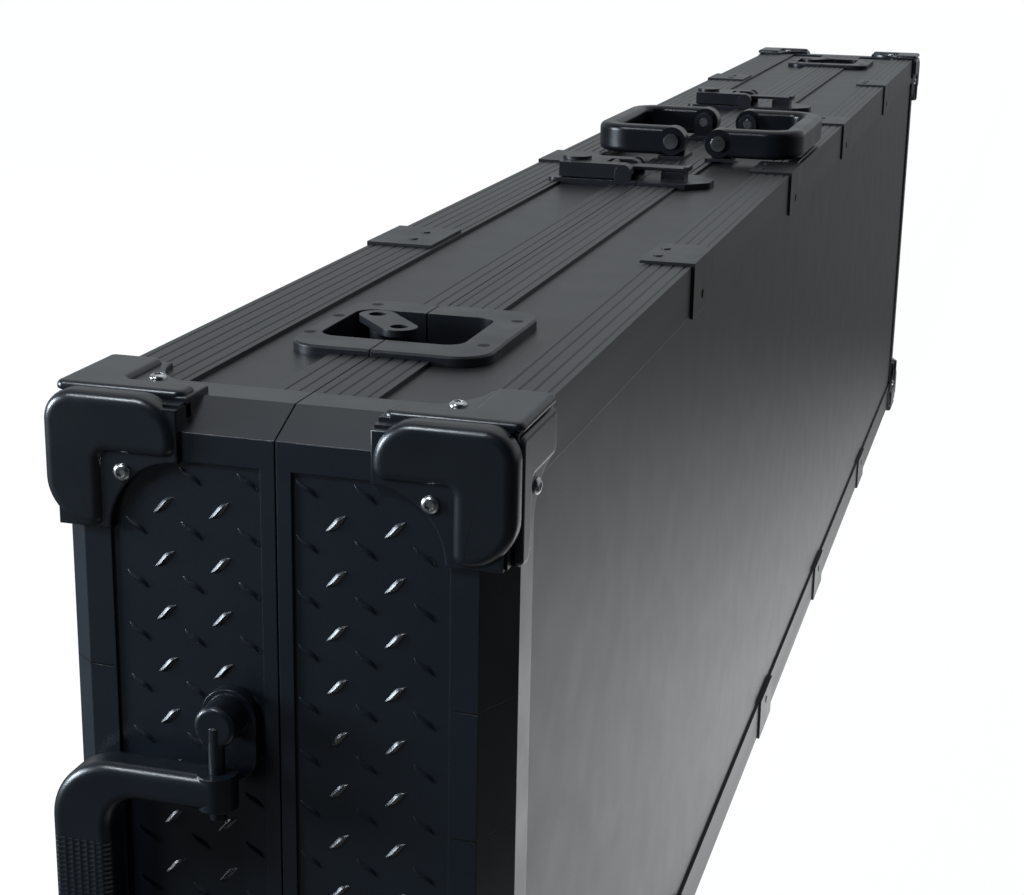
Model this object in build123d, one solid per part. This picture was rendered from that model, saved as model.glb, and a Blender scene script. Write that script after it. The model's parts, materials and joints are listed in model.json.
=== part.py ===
from build123d import *
import os

os.makedirs("parts", exist_ok=True)

# A hard cue case standing on its hinged edge, in millimetres. X runs through the thickness, with
# the lid half at +X and the opening seam at x = 0. Y runs along the length, with the end handle
# at -Y. Z is up, with the floor at z = 0. Pieces are drawn for the near (-Y) end of the lid half
# at its top edge, and mirrored to the far end, the hinged edge and the base half at -X.

# Overall sizes
case_length = 1632.0
case_height = 391.0
half_depth = 82.5
seam_gap = 0.6
corner_stand = 4.3

# Boards and ribbed extrusions
board = 6.5
skin = 1.8
angle_side = 25.0
base_angle_top = 34.0
lid_angle_top = 23.0
base_valance = 16.0
lid_valance = 24.5
valance_web = 6.0
valance_lip = 12.0
rib_depth = 0.6
rib_pitch = 5.6
tongue = 3.6
tongue_height = 2.6
tongue_clear = 0.4

# Moulded end caps
cap_wrap = 36.0
cap_wall = 3.0
bevel_drop = 8.4
bevel_back = 19.5
chamfer_in = 8.7
base_chamfer_back = 7.0
lid_chamfer_back = 20.0
board_cap_lap = 12.0
rim_seam = 5.5
rim_top = 19.0
rim_side = 19.2
arch_radius = 27.8
cap_cut_over = 9.0
panel_recess = 1.2
cap_tongue_back = 9.0
cap_tongue_short = 20.0
cap_groove_over = 2.0

# Moulded corners
corner_reach_x = 47.0
corner_reach_y = 51.0
corner_reach_z = 46.0
corner_shell = 2.4
corner_edge = 2.0
corner_band = 18.0
corner_arch = 26.5
corner_facet = 13.0
corner_low_round = 19.0
corner_low_back = 17.0
groove_start = 1.5
groove_width = 4.0
groove_floor = 0.8
screw_in = 25.7
screw_drop = 24.4
screw_back_top = 28.0
screw_back_side = 30.0
screw_head_r = 3.3
screw_head_h = 1.5
socket_r = 1.4

# Riveted clips over the angle extrusions
clip_length = 50.0
clip_thick = 1.5
clip_leg = 26.0
base_clip_x = 50.0
lid_clip_x = 56.5
clip_from_end = 345.0
clip_step = 328.0
base_rivet_x = 64.5
lid_rivet_x = 62.5
rivet_r = 2.4
rivet_h = 0.5
rivet_pitch = 20.0
leg_rivet_drop = 18.0

# Recessed twist latches
latch_from_end = 138.0
latch_plate_x0 = -36.0
latch_plate_x1 = 46.0
latch_plate_y = 88.0
latch_plate_r = 14.0
latch_plate_t = 2.6
latch_plate_edge = 0.8
latch_open_x0 = -29.0
latch_open_x1 = 31.0
latch_open_y = 52.0
latch_open_r = 8.0
latch_depth = 15.0
latch_wall = 1.5
latch_clear = 0.5
stud_x = -8.0
stud_r = 3.0
stud_height = 11.5
pin_clear = 0.05
part_gap = 0.5
through_cut = 9.0
wing_boss_r = 7.5
wing_length = 40.0
wing_width = 15.0
wing_thick = 3.0
wing_rise = 4.5
wing_hole_r = 3.6
wing_turn = -50.0
hook_float = 3.5
hook_thick = 2.2
hook_width = 22.0
hook_tail = 5.0
hook_x1 = 20.0
hook_travel = 6.0
keeper_run = 9.0
keeper_width = 18.0

# Lever hasps
hasp_from_end = 590.0
hasp_width = 44.0
hasp_plate_t = 2.0
hasp_plate_x0 = -57.0
hasp_plate_x1 = 43.0
hasp_taper_x = 30.0
hasp_tip = 16.0
hasp_corner_r = 6.0
hasp_pivot_x = -9.0
hasp_pivot_up = 7.0
hasp_pin_r = 2.0
hasp_ear_t = 3.0
hasp_ear_r = 5.0
hasp_pin_in = 8.0
hub_r = 4.2
lever_x0 = -50.0
lever_height = 9.0
lever_gap = 0.6
link_width = 14.0
link_thick = 2.0
link_side_gap = 1.0
link_seat_x = -19.0
link_seat_up = 8.5
link_pin_r = 1.5
link_eye_r = 3.0
link_x1 = 29.0
link_end_t = 3.0
keeper_x0 = 12.0
keeper_x1 = 26.5
hasp_keeper_gap = 0.4
lock_r = 9.0
lock_height = 11.0

# Folding carrying handles
base_handle_x = -4.0
lid_handle_x = 28.0
handle_off_middle = -56.0
handle_reach = 54.0
handle_span = 136.0
handle_band = 19.0
handle_thick = 13.0
handle_lift = 2.5
handle_round = 24.0
handle_soften = 4.0
handle_pin_r = 3.0
handle_pin_head_r = 5.0
handle_pin_head_t = 1.6
lug_t = 5.0
lug_r = 6.5
foot_t = 2.0
foot_x = 9.0
foot_y = 30.0

# End handle
end_axis_x = -18.0
end_axis_out = 14.5
end_post_r = 3.0
end_arm_z = 61.0
end_knob_z = 85.0
end_knob_r = 7.8
end_knob_out = 17.0
end_boss_x = 21.0
end_boss_z = 35.0
end_boss_drop = 8.0
end_boss_t = 4.0
end_post_below = 5.0
end_reach = 63.0
end_arm_band = 13.0
end_arm_thick = 15.0
end_grip_width = 23.0
end_round = 24.0
end_soften = 4.0
end_soften_from = 14.0
end_knob_soften = 2.0

# Hinges on the bottom edge
hinge_axis_drop = 0.7
hinge_barrel_r = 3.2
hinge_pin_r = 1.6
hinge_leaf_t = 1.2
hinge_leaf_x = 14.0
hinge_length = 180.0
hinge_knuckles = 5
hinge_from_end = 256.0
hinge_gap = 0.4
hinge_relief = 0.5

# Foam
cue_slots = 4
cue_slot_width = 36.0
cue_slot_depth = 36.0
cue_slot_length = 1500.0
cue_slot_margin = 24.0
finger_cut = 70.0
finger_spread = 430.0
finger_over = 10.0
pockets = 3
pocket_width = 78.0
pocket_length = 330.0
pocket_pitch = 400.0
pocket_depth = 46.0
pocket_margin = 14.0
foam_clear = 0.5
base_foam_seam = 1.0
lid_foam_seam = 4.0

# Worked-out places
bottom = corner_stand
top = bottom + case_height
middle_z = bottom + case_height / 2
end_y = case_length / 2
half_gap = seam_gap / 2
side_inner = half_depth - skin - board
board_end = end_y - cap_wrap + board_cap_lap
wrap_end = end_y - cap_wrap
latch_y = -end_y + latch_from_end
latch_floor = top - latch_depth
hasp_y = -end_y + hasp_from_end
pivot_z = top + handle_lift + handle_band / 2
end_axis_y = -end_y - end_axis_out
hinge_axis_z = corner_stand - hinge_axis_drop
hinge_places = [-end_y + hinge_from_end, 0.0, end_y - hinge_from_end]
clip_places = [-end_y + clip_from_end, -end_y + clip_from_end + clip_step]
# The origin is at the middle of the overall length, so the standing-out end handle shifts it
end_handle_out = end_axis_out + end_arm_thick / 2
origin_shift = (end_handle_out - corner_stand) / 2


def block(x0, x1, y0, y1, z0, z1):
    """A box between two corners."""
    size = (abs(x1 - x0), abs(y1 - y0), abs(z1 - z0))
    return Pos((x0 + x1) / 2, (y0 + y1) / 2, (z0 + z1) / 2) * Box(*size)


def rod(x, y, z, radius, length, axis):
    """A cylinder centred on a point, along X, Y or Z."""
    turn = {"x": Rot(0, 90, 0), "y": Rot(90, 0, 0), "z": Rot(0, 0, 0)}[axis]
    return Pos(x, y, z) * turn * Cylinder(radius, length)


def flip_x(shape):
    return mirror(shape, about=Plane.YZ)


def flip_y(shape):
    return mirror(shape, about=Plane.XZ)


def flip_z(shape):
    """The same piece at the other long edge."""
    return mirror(shape, about=Plane.XY.offset(middle_z))


def solids_of(shape):
    pieces = shape if isinstance(shape, (list, tuple)) else [shape]
    return [solid for piece in pieces for solid in piece.solids()]


def write(name, shape):
    """One sub-part to its file, moved so that the origin is at the middle of the overall length."""
    solids = [Pos(0, origin_shift, 0) * solid for solid in solids_of(shape)]
    export_step(solids[0] if len(solids) == 1 else Compound(children=solids), f"parts/{name}.step")


def write_mirrored(name, shape, flip):
    write(name, [flip(solid) for solid in solids_of(shape)])


def along_y(points, y0, y1):
    """Carry a section, drawn as (x, z) points, along the case's length."""
    face = Plane.XZ * make_face(Polyline(*points, close=True))
    return Pos(0, y1, 0) * extrude(face, amount=y1 - y0)


def seated(sketch, height):
    """A plate on the top edge that also fills down to the boards between the extrusions."""
    plate = Pos(0, 0, top - skin) * extrude(sketch, amount=height + skin)
    low = top - 2 * skin
    plate -= block(-base_valance, lid_valance, -end_y, end_y, low, top)
    return plate - block(-half_depth, base_angle_top - half_depth, -end_y, end_y, low, top)


# Room cut for latches and hinges


def latch_pockets():
    grow = latch_wall + latch_clear
    reach = latch_open_y / 2 + grow
    x0, x1 = latch_open_x0 - grow, latch_open_x1 + grow
    near = block(x0, x1, latch_y - reach, latch_y + reach, latch_floor - grow, top + 1)
    return near + flip_y(near)


def hinge_pockets():
    reach = hinge_leaf_x + hinge_relief
    barrel = hinge_barrel_r + hinge_relief
    run = hinge_length / 2 + hinge_relief
    cut = None
    for y in hinge_places:
        leaf = block(-reach, reach, y - run, y + run, bottom - 1, bottom + hinge_leaf_t)
        one = leaf + block(-barrel, barrel, y - run, y + run, 0, hinge_axis_z + barrel)
        cut = one if cut is None else cut + one
    return cut


# Boards


def side_panel():
    return block(side_inner, half_depth - skin, -board_end, board_end, bottom + skin, top - skin)


def long_boards():
    """The two narrow boards, one along the top edge and one along the hinged edge."""
    x0 = half_gap + valance_web
    upper = block(x0, side_inner, -board_end, board_end, top - skin - board, top - skin)
    return [upper - latch_pockets() - flip_x(latch_pockets()), flip_z(upper)]


def end_boards():
    z0, z1 = bottom + skin + board, top - skin - board
    near = block(half_gap + rim_seam, side_inner, -board_end, -board_end + board, z0, z1)
    return [near, flip_y(near)]


# Ribbed extrusions


def ribs(x0, x1, z):
    """Points from x0 to x1 along a flange's outer face, with a V groove at each rib pitch."""
    count = int((x1 - x0) // rib_pitch)
    start = (x0 + x1 - rib_pitch * (count - 1)) / 2
    points = []
    for i in range(count):
        x = start + rib_pitch * i
        points += [(x - rib_depth, z), (x, z - rib_depth), (x + rib_depth, z)]
    return points


def angles(top_width):
    """The L extrusions over a half's two long outer edges, ribbed on the top flange."""
    x0, x1 = half_depth - top_width, half_depth
    outline = [(x0, top), *ribs(x0, x1, top), (x1, top), (x1, top - angle_side)]
    outline += [(x1 - skin, top - angle_side), (x1 - skin, top - skin), (x0, top - skin)]
    upper = along_y(outline, -wrap_end, wrap_end)
    return [upper, flip_z(upper)]


def valance(width):
    """The channel that grips a long board's inner edge at the seam."""
    x0, x1 = half_gap, half_gap + valance_web
    under = top - skin - board
    outline = [(x0, top), *ribs(x0, width, top), (width, top), (width, top - skin), (x1, top - skin)]
    outline += [(x1, under), (x0 + valance_lip, under), (x0 + valance_lip, under - skin), (x0, under - skin)]
    return along_y(outline, -wrap_end, wrap_end)


def tongued_valance():
    """The base half's top channel, drawn at +X like the rest, with its tongue past the seam."""
    z, half = top - skin - board / 2, tongue_height / 2
    strip = block(-half_gap - tongue, half_gap + 1, -wrap_end, wrap_end, z - half, z + half)
    return valance(base_valance) + strip - flip_x(latch_pockets())


def grooved_valance():
    """The lid half's top channel, with the groove that takes the tongue."""
    z, half = top - skin - board / 2, tongue_height / 2 + tongue_clear
    reach = half_gap + tongue + tongue_clear
    groove = block(half_gap - 1, reach, -wrap_end - 1, wrap_end + 1, z - half, z + half)
    return valance(lid_valance) - groove - latch_pockets()


def hinged_valance(width):
    return flip_z(valance(width)) - hinge_pockets()


# Moulded end caps


def end_envelope(y1, chamfer_back):
    """The bevelled outside of the lid half, from its near end face to a place along its length."""
    y0 = -end_y
    points = [(y0, bottom + bevel_drop), (y0 + bevel_back, bottom), (y1, bottom)]
    points += [(y1, top), (y0 + bevel_back, top), (y0, top - bevel_drop)]
    face = Plane.YZ * make_face(Polyline(*points, close=True))
    solid = Pos(half_gap, 0, 0) * extrude(face, amount=half_depth - half_gap)
    x0, x1, before = half_depth - chamfer_in, half_depth + chamfer_in, y0 - cap_cut_over
    wedge = [(x0, y0), (half_depth, y0 + chamfer_back), (x1, y0 + chamfer_back), (x1, before), (x0, before)]
    wedge_face = Pos(0, 0, bottom - 1) * make_face(Polyline(*wedge, close=True))
    return solid - extrude(wedge_face, amount=case_height + 2)


def tread_face():
    """The sunk tread panel's outline on the end face, arched at its two outer corners."""
    x0, x1 = half_gap + rim_seam, half_depth - rim_side
    z0, z1, r = bottom + rim_top, top - rim_top, arch_radius
    slab = block(x0, x1 - r, -end_y - 1, -end_y + panel_recess, z0, z1)
    slab += block(x1 - r, x1, -end_y - 1, -end_y + panel_recess, z0 + r, z1 - r)
    for z in (z0 + r, z1 - r):
        slab += rod(x1 - r, -end_y + (panel_recess - 1) / 2, z, r, panel_recess + 1, "y")
    return slab


def cap_shell(chamfer_back):
    shape = end_envelope(-wrap_end, chamfer_back)
    low, high = bottom + bevel_drop + cap_wall, top - bevel_drop - cap_wall
    face_in, shelf = -end_y + cap_wall + panel_recess, -board_end
    x0 = half_gap + rim_seam
    shape -= block(x0, half_depth - chamfer_in - cap_wall, face_in, shelf, low, high)
    shape -= block(x0, half_depth - skin, shelf, -wrap_end + 1, bottom + skin, top - skin)
    shape -= block(half_gap - 1, half_depth, shelf + board, -wrap_end + 1, bottom + skin, top - skin)
    shape += block(half_depth - skin, half_depth, shelf, -wrap_end, bottom, top)
    return shape - tread_face()


def tongued_cap():
    """The base half's cap, drawn at +X like the rest, with its tongue past the seam."""
    y, z0, z1 = -end_y + cap_tongue_back, bottom + cap_tongue_short, top - cap_tongue_short
    tongue_block = block(-half_gap - tongue, half_gap + 1, y, y + tongue_height, z0, z1)
    return cap_shell(base_chamfer_back) + tongue_block


def grooved_cap():
    y0 = -end_y + cap_tongue_back - tongue_clear
    y1 = y0 + tongue_height + 2 * tongue_clear
    short = cap_tongue_short - cap_groove_over
    groove = block(half_gap - 1, half_gap + tongue + tongue_clear, y0, y1, bottom + short, top - short)
    return cap_shell(lid_chamfer_back) - groove


# Moulded corners


def corner(chamfer_back):
    """A thick moulding over the case's corner, sunk to a thin shell inside an L-shaped pad on each face."""
    x1, y0, z1 = half_depth + corner_stand, -end_y - corner_stand, top + corner_stand
    x0, y1, z0 = half_depth - corner_reach_x, -end_y + corner_reach_y, top - corner_reach_z
    shape = block(x0, x1, y0, y1, z0, z1)
    shape = chamfer([edge for edge in shape.edges() if outer_faces(edge, x1, y0, z1) == 2], corner_edge)
    x, y, z = half_depth - corner_band, -end_y + corner_band, top - corner_band
    shape -= block(x0, x, y0, -end_y - corner_shell, z0, z)
    shape -= block(x0, x, y, y1, top + corner_shell, z1)
    shape -= block(half_depth + corner_shell, x1, y, y1, z0, z)
    y, floor = -end_y + groove_start, groove_floor
    shape -= block(x0, x1, y, y + groove_width, top + floor, z1)
    shape -= block(half_depth + floor, x1, y, y + groove_width, z0, z1)
    long = corner_reach_y
    shape -= rod(x0, y0, z0, corner_arch, long, "y")
    shape -= rod(x0, y1, z1, corner_arch, long, "z")
    shape -= rod(x1, y1, z0, corner_arch, long, "x")
    shape -= corner_facet_cut(x1, y0, z1) + corner_low_cut(x1, y0, z0)
    return shape - end_envelope(0, chamfer_back)


def corner_facet_cut(x1, y0, z1):
    """The wedge cut off where a corner's three outer faces meet."""
    out = Vector(1, -1, 1).normalized()
    face = Plane(origin=Vector(x1, y0, z1) - out * (corner_facet / 3**0.5), z_dir=out)
    return extrude(face * Circle(corner_facet * 2), amount=corner_facet * 2)


def corner_low_cut(x1, y0, z0):
    """The waste outside a corner's rounded lower outer end, where it meets the case's vertical edge."""
    r, y1 = corner_low_round, -end_y + corner_low_back
    waste = block(x1 - r, x1 + 1, y0 - 1, y1, z0 - 1, z0 + r)
    return waste - rod(x1 - r, y0, z0 + r, r, 3 * corner_low_back, "y")


def outer_faces(edge, x1, y0, z1):
    """How many of the corner's three outer planes an edge lies in."""
    c = edge.center()
    return (abs(c.X - x1) < 0.01) + (abs(c.Y - y0) < 0.01) + (abs(c.Z - z1) < 0.01)


def screw(place, out):
    """A round-headed socket screw standing out of a face, from a place on that face."""
    plane = Plane(origin=place, z_dir=out)
    head = extrude(plane * Circle(screw_head_r), amount=screw_head_h)
    tip = max(head.faces(), key=lambda face: (face.center() - Vector(*place)).dot(Vector(*out)))
    head = fillet(tip.edges(), screw_head_h * 0.6)
    return head - extrude(plane.offset(screw_head_h / 3) * Circle(socket_r), amount=screw_head_h)


def corner_screws():
    """Three screws in each corner, one through each of its faces."""
    x, z = half_depth - screw_in, top - screw_drop
    near = [
        screw((x, -end_y - corner_shell, z), (0, -1, 0)),
        screw((x, -end_y + screw_back_top, top + corner_shell), (0, 0, 1)),
        screw((half_depth + corner_shell, -end_y + screw_back_side, z), (1, 0, 0)),
    ]
    near += [flip_z(one) for one in near]
    return near + [flip_y(one) for one in near]


# Clips


def four_ways(shape):
    """A piece near one end of the top edge, and its twins at the far end and the hinged edge."""
    return [shape, flip_y(shape), flip_z(shape), flip_y(flip_z(shape))]


def clips(x0):
    shapes = []
    outline = [(x0, top), (x0, top + clip_thick), (half_depth + clip_thick, top + clip_thick)]
    outline += [(half_depth + clip_thick, top - clip_leg), (half_depth, top - clip_leg), (half_depth, top)]
    for y in clip_places:
        shapes += four_ways(along_y(outline, y - clip_length / 2, y + clip_length / 2))
    return shapes


def clip_rivets(x):
    """Two flat heads on each clip's top flange and one on its leg."""
    shapes = []
    z, side = top + clip_thick + rivet_h / 2, half_depth + clip_thick + rivet_h / 2
    for y in clip_places:
        for step in (-rivet_pitch / 2, rivet_pitch / 2):
            shapes += four_ways(rod(x, y + step, z, rivet_r, rivet_h, "z"))
        shapes += four_ways(rod(side, y, top - leg_rivet_drop, rivet_r, rivet_h, "x"))
    return shapes


# Recessed twist latch at the near end


def latch_tray():
    """The whole dish before it is split: its flange on the case and its tray below."""
    middle, wide = (latch_plate_x0 + latch_plate_x1) / 2, latch_plate_x1 - latch_plate_x0
    outline = RectangleRounded(wide, latch_plate_y, latch_plate_r)
    plate = seated(Pos(middle, latch_y) * outline, latch_plate_t)
    plate = chamfer(plate.faces().sort_by(Axis.Z)[-1].edges(), latch_plate_edge)
    middle, wide = (latch_open_x0 + latch_open_x1) / 2, latch_open_x1 - latch_open_x0
    wall = 2 * latch_wall
    outer = RectangleRounded(wide + wall, latch_open_y + wall, latch_open_r + latch_wall)
    inner = RectangleRounded(wide, latch_open_y, latch_open_r)
    tray = Pos(middle, latch_y, latch_floor - latch_wall) * extrude(outer, amount=latch_depth + latch_wall)
    opening = Pos(middle, latch_y, latch_floor) * extrude(inner, amount=latch_depth + through_cut)
    return plate + tray - opening


def latch_side(x0, x1):
    """The space on one side of the seam that holds that half of the dish."""
    reach = latch_plate_y / 2 + 1
    low, high = latch_floor - through_cut, top + through_cut
    return block(x0, x1, latch_y - reach, latch_y + reach, low, high)


def latch_base_dish():
    """The base half of the dish, with the stud that the wing turns on."""
    stud = rod(stud_x, latch_y, latch_floor + stud_height / 2, stud_r, stud_height, "z")
    return (latch_tray() & latch_side(latch_plate_x0 - 1, -half_gap)) + stud


def latch_lid_dish():
    """The lid half of the dish, with the keeper that the hook draws against."""
    half, high = keeper_width / 2, hook_float - part_gap
    x0 = hook_x1 - keeper_run
    keeper = block(x0, hook_x1, latch_y - half, latch_y + half, latch_floor, latch_floor + high)
    return (latch_tray() & latch_side(half_gap, latch_plate_x1 + 1)) + keeper


def latch_wing():
    """The butterfly key: a boss bored for the stud, with two pierced wings."""
    z0, z1 = latch_floor + hook_float + hook_thick + part_gap, top + wing_rise
    shape = rod(0, 0, (z0 + z1) / 2, wing_boss_r, z1 - z0, "z")
    shape += Pos(0, 0, z1 - wing_thick) * extrude(SlotOverall(wing_length, wing_width), amount=wing_thick)
    for side in (-1, 1):
        shape -= rod(side * (wing_length - wing_width) / 2, 0, z1, wing_hole_r, wing_thick * 3, "z")
    bore = latch_floor + stud_height + part_gap
    shape -= rod(0, 0, (z0 - 1 + bore) / 2, stud_r + pin_clear, bore - z0 + 1, "z")
    return Pos(stud_x, latch_y, 0) * Rot(0, 0, wing_turn) * shape


def latch_hook():
    """The flat hook that the wing draws across the seam, slotted round the stud."""
    z0, slot_r = latch_floor + hook_float, stud_r + part_gap
    x0 = stud_x - slot_r - hook_travel - hook_tail
    shape = block(x0, hook_x1, latch_y - hook_width / 2, latch_y + hook_width / 2, z0, z0 + hook_thick)
    slot = extrude(SlotOverall(hook_travel + 2 * slot_r, 2 * slot_r), amount=hook_thick + 2)
    return shape - Pos(stud_x - hook_travel / 2, latch_y, z0 - 1) * slot


# Lever hasp at the near side of the handles


def hasp_plate():
    """The base plate, with two ears whose short pins carry the lever."""
    middle, wide = (hasp_plate_x0 - half_gap) / 2, -half_gap - hasp_plate_x0
    sketch = Pos(middle, hasp_y) * Rectangle(wide, hasp_width)
    sketch = fillet(sketch.vertices().group_by(Axis.X)[0], hasp_corner_r)
    shape = seated(sketch, hasp_plate_t)
    z, half = top + hasp_pivot_up, hasp_width / 2
    for side in (-1, 1):
        y = hasp_y + side * (half - hasp_ear_t / 2)
        y0, y1 = y - hasp_ear_t / 2, y + hasp_ear_t / 2
        pin_y = hasp_y + side * (hasp_pin_in + half) / 2
        ear = block(hasp_pivot_x - hasp_ear_r, hasp_pivot_x + hasp_ear_r, y0, y1, top + 1, z)
        shape += ear + rod(hasp_pivot_x, y, z, hasp_ear_r, hasp_ear_t, "y")
        shape += rod(hasp_pivot_x, pin_y, z, hasp_pin_r, half - hasp_pin_in, "y")
    return shape


def hasp_lever():
    """The lever lying over the base plate, slotted for its link, with a round boss at its free end."""
    half = hasp_width / 2 - hasp_ear_t - lever_gap
    z0, z = top + hasp_plate_t + lever_gap, top + hasp_pivot_up
    shape = block(lever_x0, hasp_pivot_x, hasp_y - half, hasp_y + half, z0, z0 + lever_height)
    shape += rod(hasp_pivot_x, hasp_y, z, hub_r, 2 * half, "y")
    shape += rod(lever_x0 + lock_r - 2, hasp_y, z0 + lock_height / 2, lock_r, lock_height, "z")
    shape -= rod(hasp_pivot_x, hasp_y, z, hasp_pin_r + pin_clear, 2 * half + 2, "y")
    room = link_width / 2 + link_side_gap
    x0 = link_seat_x - link_eye_r - part_gap
    shape -= block(x0, 0, hasp_y - room, hasp_y + room, z0 - 1, z0 + lever_height + 1)
    return shape + rod(link_seat_x, hasp_y, top + link_seat_up, link_pin_r, 2 * room, "y")


def hasp_link():
    """The link from the lever to the keeper on the lid; its end bar stops just above the keeper."""
    z, half = top + link_seat_up, link_width / 2
    low = top + hasp_plate_t + hasp_pivot_up - link_thick + hasp_keeper_gap
    shape = rod(link_seat_x, hasp_y, z, link_eye_r, link_width, "y")
    y0, y1 = hasp_y - half, hasp_y + half
    shape += block(link_seat_x, link_x1, y0, y1, z - link_thick / 2, z + link_thick / 2)
    shape += block(link_x1 - link_end_t, link_x1, y0, y1, low, z + link_thick)
    return shape - rod(link_seat_x, hasp_y, z, link_pin_r + pin_clear, link_width + 2, "y")


def hasp_keeper():
    """The plate on the lid half, tapered away from the seam, with the block that the link holds."""
    half, tip = hasp_width / 2, hasp_tip / 2
    points = [(half_gap, -half), (hasp_taper_x, -half), (hasp_plate_x1, -tip)]
    points += [(hasp_plate_x1, tip), (hasp_taper_x, half), (half_gap, half)]
    sketch = make_face(Polyline(*points, close=True))
    sketch = fillet(sketch.vertices().group_by(Axis.X)[-1], hasp_corner_r)
    shape = seated(Pos(0, hasp_y) * sketch, hasp_plate_t)
    high = top + hasp_plate_t + hasp_pivot_up - link_thick
    y0, y1 = hasp_y - link_width / 2, hasp_y + link_width / 2
    return shape + block(keeper_x0, keeper_x1, y0, y1, top + 1, high)


# Folding carrying handles, drawn folded towards +X from a hinge line at x = 0


def folded_handle():
    """A U-shaped padded handle that lies flat when it isn't carried."""
    r, half = handle_band / 2, handle_span / 2
    outer = Pos(handle_reach / 2, 0) * RectangleRounded(handle_reach, handle_span, handle_round)
    outer += Pos(handle_round / 2, 0) * Rectangle(handle_round, handle_span)
    reach, span = handle_reach - handle_thick, handle_span - 2 * handle_thick
    inner = Pos(reach / 2, 0) * RectangleRounded(reach, span, handle_round - handle_thick)
    inner += Rectangle(reach, span)
    shape = Pos(0, 0, pivot_z - r) * extrude(outer - inner, amount=handle_band)
    rims = [edge for edge in shape.edges() if abs(edge.center().Z - pivot_z) > r - 0.1]
    shape = fillet([edge for edge in rims if edge.center().X > handle_round], handle_soften)
    for side in (-1, 1):
        y = side * (half - handle_thick / 2)
        shape += rod(0, y, pivot_z, r, handle_thick, "y")
        shape -= rod(0, y, pivot_z, handle_pin_r + pin_clear, handle_thick + 2, "y")
    return shape


def handle_brackets():
    """Two feet, each with the lug that holds a handle's pin."""
    shapes = []
    inner = handle_span / 2 - handle_thick - part_gap
    for side in (-1, 1):
        y0, y1 = side * (inner - foot_y + handle_thick), side * (inner + handle_thick)
        foot = block(-foot_x, foot_x, y0, y1, top, top + foot_t)
        lug_y0, lug_y1 = side * (inner - lug_t), side * inner
        lug = block(-lug_r, lug_r, lug_y0, lug_y1, top + 1, pivot_z)
        lug += rod(0, (lug_y0 + lug_y1) / 2, pivot_z, lug_r, lug_t, "y")
        shapes.append(foot + lug - rod(0, lug_y0, pivot_z, handle_pin_r, 4 * lug_t, "y"))
    return shapes


def handle_pins():
    """The steel pins through the lugs and the handle's arms, with a flat head outside."""
    shapes = []
    inner = handle_span / 2 - handle_thick - part_gap - lug_t
    outer = handle_span / 2 + part_gap
    for side in (-1, 1):
        shaft = rod(0, side * (inner + outer) / 2, pivot_z, handle_pin_r, outer - inner, "y")
        head_y = side * (outer + handle_pin_head_t / 2)
        shapes.append(shaft + rod(0, head_y, pivot_z, handle_pin_head_r, handle_pin_head_t, "y"))
    return shapes


def at_handle(shapes, x, side):
    """Places handle pieces at a hinge line: folded towards +X on the lid, towards -X on the base."""
    return [Pos(x, handle_off_middle, 0) * (one if side > 0 else flip_x(one)) for one in solids_of(shapes)]


# End handle


def end_handle():
    """The moulded handle that swings on two posts, lying flat over the base half's end."""
    r, half = end_arm_thick / 2, end_arm_z + end_arm_band / 2
    x0 = end_axis_x - end_reach
    outer = Pos(x0 + end_reach / 2, 0) * RectangleRounded(end_reach, 2 * half, end_round)
    outer += Pos(end_axis_x - end_round / 2, 0) * Rectangle(end_round, 2 * half)
    reach, span = end_reach - end_grip_width, 2 * (half - end_arm_band)
    inner = Pos(end_axis_x - reach / 2, 0) * RectangleRounded(reach, span, end_round / 2)
    inner += Pos(end_axis_x, 0) * Rectangle(reach, span)
    face = Plane(origin=(0, end_axis_y + r, middle_z), x_dir=(1, 0, 0), z_dir=(0, -1, 0))
    shape = extrude(face * (outer - inner), amount=end_arm_thick)
    rims = [edge for edge in shape.edges() if abs(edge.center().Y - end_axis_y) > r - 0.1]
    shape = fillet([edge for edge in rims if edge.center().X < end_axis_x - end_soften_from], end_soften)
    for side in (-1, 1):
        z = middle_z + side * end_arm_z
        shape += rod(end_axis_x, end_axis_y, z, r, end_arm_band, "z")
        shape -= rod(end_axis_x, end_axis_y, z, end_post_r + pin_clear, end_arm_band + 2, "z")
    return shape


def end_brackets():
    """Two knobs standing out of the base half's end cap, each with the post that carries an arm."""
    shapes = []
    for side in (-1, 1):
        z = middle_z + side * end_knob_z
        out = Plane(origin=(end_axis_x, -end_y + panel_recess, z), x_dir=(0, 0, 1), z_dir=(0, -1, 0))
        lower = Pos(-side * end_boss_drop, 0) * SlotOverall(end_boss_z, end_boss_x)
        shape = extrude(out * lower, amount=end_boss_t + panel_recess)
        knob = extrude(out * Circle(end_knob_r), amount=end_knob_out + panel_recess)
        knob = fillet(knob.faces().sort_by(Axis.Y)[0].edges(), end_knob_soften)
        tip = middle_z + side * (end_arm_z - end_arm_band / 2 - end_post_below)
        post = rod(end_axis_x, end_axis_y, (z + tip) / 2, end_post_r, abs(z - tip), "z")
        shapes.append(shape + knob + post)
    return shapes


# Hinges


def knuckle_runs(y):
    """The start and end of each of a hinge's knuckles along its length."""
    pitch = hinge_length / hinge_knuckles
    starts = [y - hinge_length / 2 + i * pitch for i in range(hinge_knuckles)]
    return [(start + hinge_gap / 2, start + pitch - hinge_gap / 2) for start in starts]


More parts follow.
